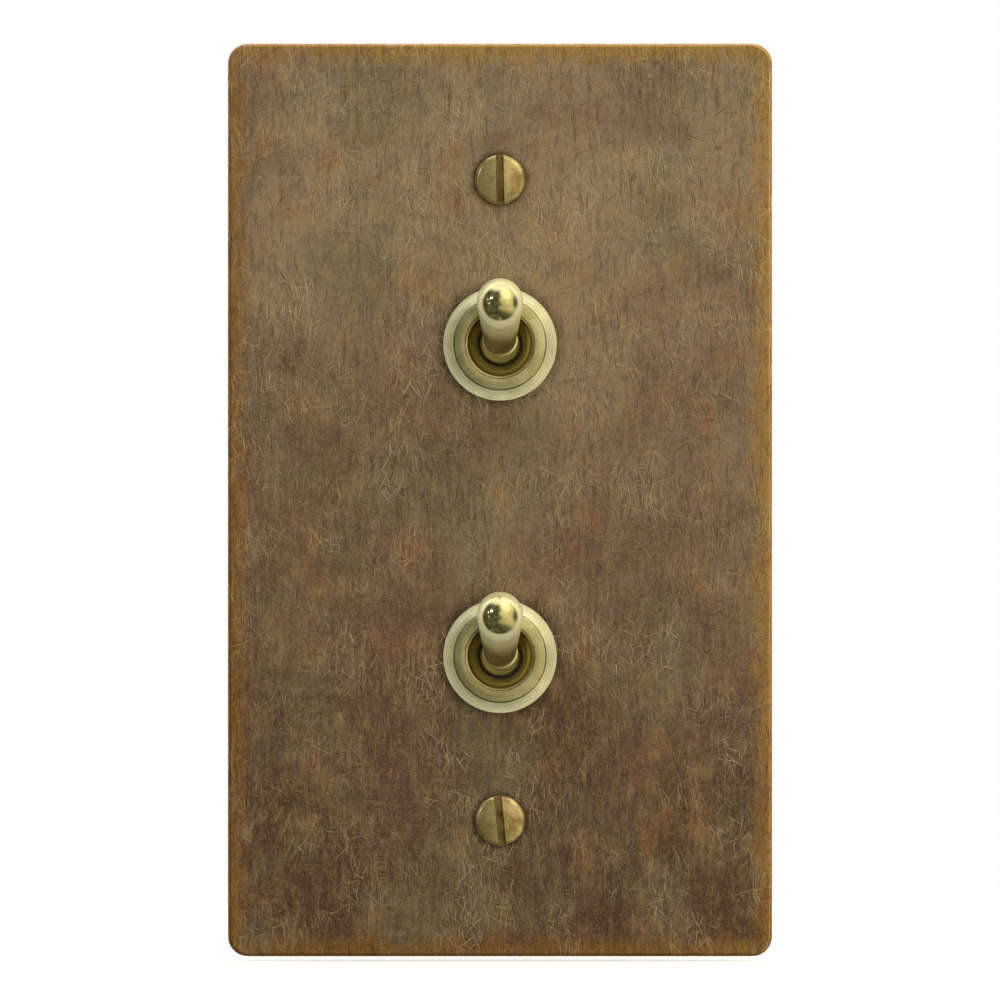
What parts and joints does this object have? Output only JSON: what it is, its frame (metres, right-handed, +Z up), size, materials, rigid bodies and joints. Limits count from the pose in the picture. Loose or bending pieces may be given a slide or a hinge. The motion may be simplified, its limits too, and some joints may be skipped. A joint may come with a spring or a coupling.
{
  "type": "toggle wall switch",
  "caption": "Wall plate in aged brass with bat-handle toggle switches one above the other, slotted raised-head plate screws, switch cases and screw terminals behind.",
  "frame": {"origin": "centre of the plate's back, on the plane of the wall", "axes": "+X to the right and +Z up seen from the room, +Y into the wall; the levers stand towards -Y"},
  "size_m": [0.0708, 0.0466, 0.1186],
  "materials": {
    "aged_brass": "aged and brushed, with scratches",
    "aged_screw_brass": "aged, satin",
    "satin_brass": "satin to polished",
    "raw_brass": "machined",
    "steel": "zinc plated",
    "spring_steel": "bright",
    "bronze": "rolled spring strip",
    "silver": "coined silver",
    "phenolic": "moulded, dark brown",
    "green": "green lacquer on brass"
  },
  "bodies": {
    "base": {"face_plate": "aged_brass", "plate_screw_upper": "aged_screw_brass", "plate_screw_lower": "aged_screw_brass", "earth_post": "raw_brass", "earth_screw": "green", "dress_nut_upper": "satin_brass", "bushing_upper": "satin_brass", "locating_washer_upper": "steel", "lock_washer_upper": "spring_steel", "hex_nut_upper": "raw_brass", "switch_cover_upper": "steel", "switch_case_upper": "phenolic", "common_terminal_upper": "raw_brass", "top_terminal_upper": "raw_brass", "bottom_terminal_upper": "raw_brass", "top_fixed_contact_upper": "silver", "bottom_fixed_contact_upper": "silver", "top_terminal_screw_upper": "raw_brass", "common_terminal_screw_upper": "raw_brass", "bottom_terminal_screw_upper": "raw_brass", "dress_nut_lower": "satin_brass", "bushing_lower": "satin_brass", "locating_washer_lower": "steel", "lock_washer_lower": "spring_steel", "hex_nut_lower": "raw_brass", "switch_cover_lower": "steel", "switch_case_lower": "phenolic", "common_terminal_lower": "raw_brass", "top_terminal_lower": "raw_brass", "bottom_terminal_lower": "raw_brass", "top_fixed_contact_lower": "silver", "bottom_fixed_contact_lower": "silver", "top_terminal_screw_lower": "raw_brass", "common_terminal_screw_lower": "raw_brass", "bottom_terminal_screw_lower": "raw_brass"},
    "lever_upper": {"lever_upper": "satin_brass", "pivot_pin_upper": "steel", "lever_spring_upper": "spring_steel"},
    "plunger_upper": {"plunger_upper": "raw_brass"},
    "rocker_upper": {"rocker_upper": "bronze", "top_moving_contact_upper": "silver", "bottom_moving_contact_upper": "silver"},
    "lever_lower": {"lever_lower": "satin_brass", "pivot_pin_lower": "steel", "lever_spring_lower": "spring_steel"},
    "plunger_lower": {"plunger_lower": "raw_brass"},
    "rocker_lower": {"rocker_lower": "bronze", "top_moving_contact_lower": "silver", "bottom_moving_contact_lower": "silver"}
  },
  "joints": [
    {"name": "lever_swing_upper", "type": "hinge", "parent": "base", "child": "lever_upper", "pos_m": [0, -0.0014, 0.0203], "axis": [1, 0, 0], "range_deg": [0, 30]},
    {"name": "plunger_slide_upper", "type": "slide", "parent": "lever_upper", "child": "plunger_upper", "axis": [0, -0.9659, 0.2588], "range_m": [0, 0.0005], "stiffness_N_per_m": 400, "springref_m": -0.001, "deforming": ["lever_spring_upper"]},
    {"name": "rocker_rock_upper", "type": "hinge", "parent": "base", "child": "rocker_upper", "pos_m": [0, 0.0102, 0.0203], "axis": [1, 0, 0], "range_deg": [-14.1, 0]},
    {"name": "lever_swing_lower", "type": "hinge", "parent": "base", "child": "lever_lower", "pos_m": [0, -0.0014, -0.0203], "axis": [1, 0, 0], "range_deg": [0, 30]},
    {"name": "plunger_slide_lower", "type": "slide", "parent": "lever_lower", "child": "plunger_lower", "axis": [0, -0.9659, 0.2588], "range_m": [0, 0.0005], "stiffness_N_per_m": 400, "springref_m": -0.001, "deforming": ["lever_spring_lower"]},
    {"name": "rocker_rock_lower", "type": "hinge", "parent": "base", "child": "rocker_lower", "pos_m": [0, 0.0102, -0.0203], "axis": [1, 0, 0], "range_deg": [-14.1, 0]}
  ],
  "couplings": [
    {"joint": "rocker_rock_upper", "follows": "lever_swing_upper", "ratio": -0.46667},
    {"joint": "rocker_rock_lower", "follows": "lever_swing_lower", "ratio": -0.46667}
  ]
}
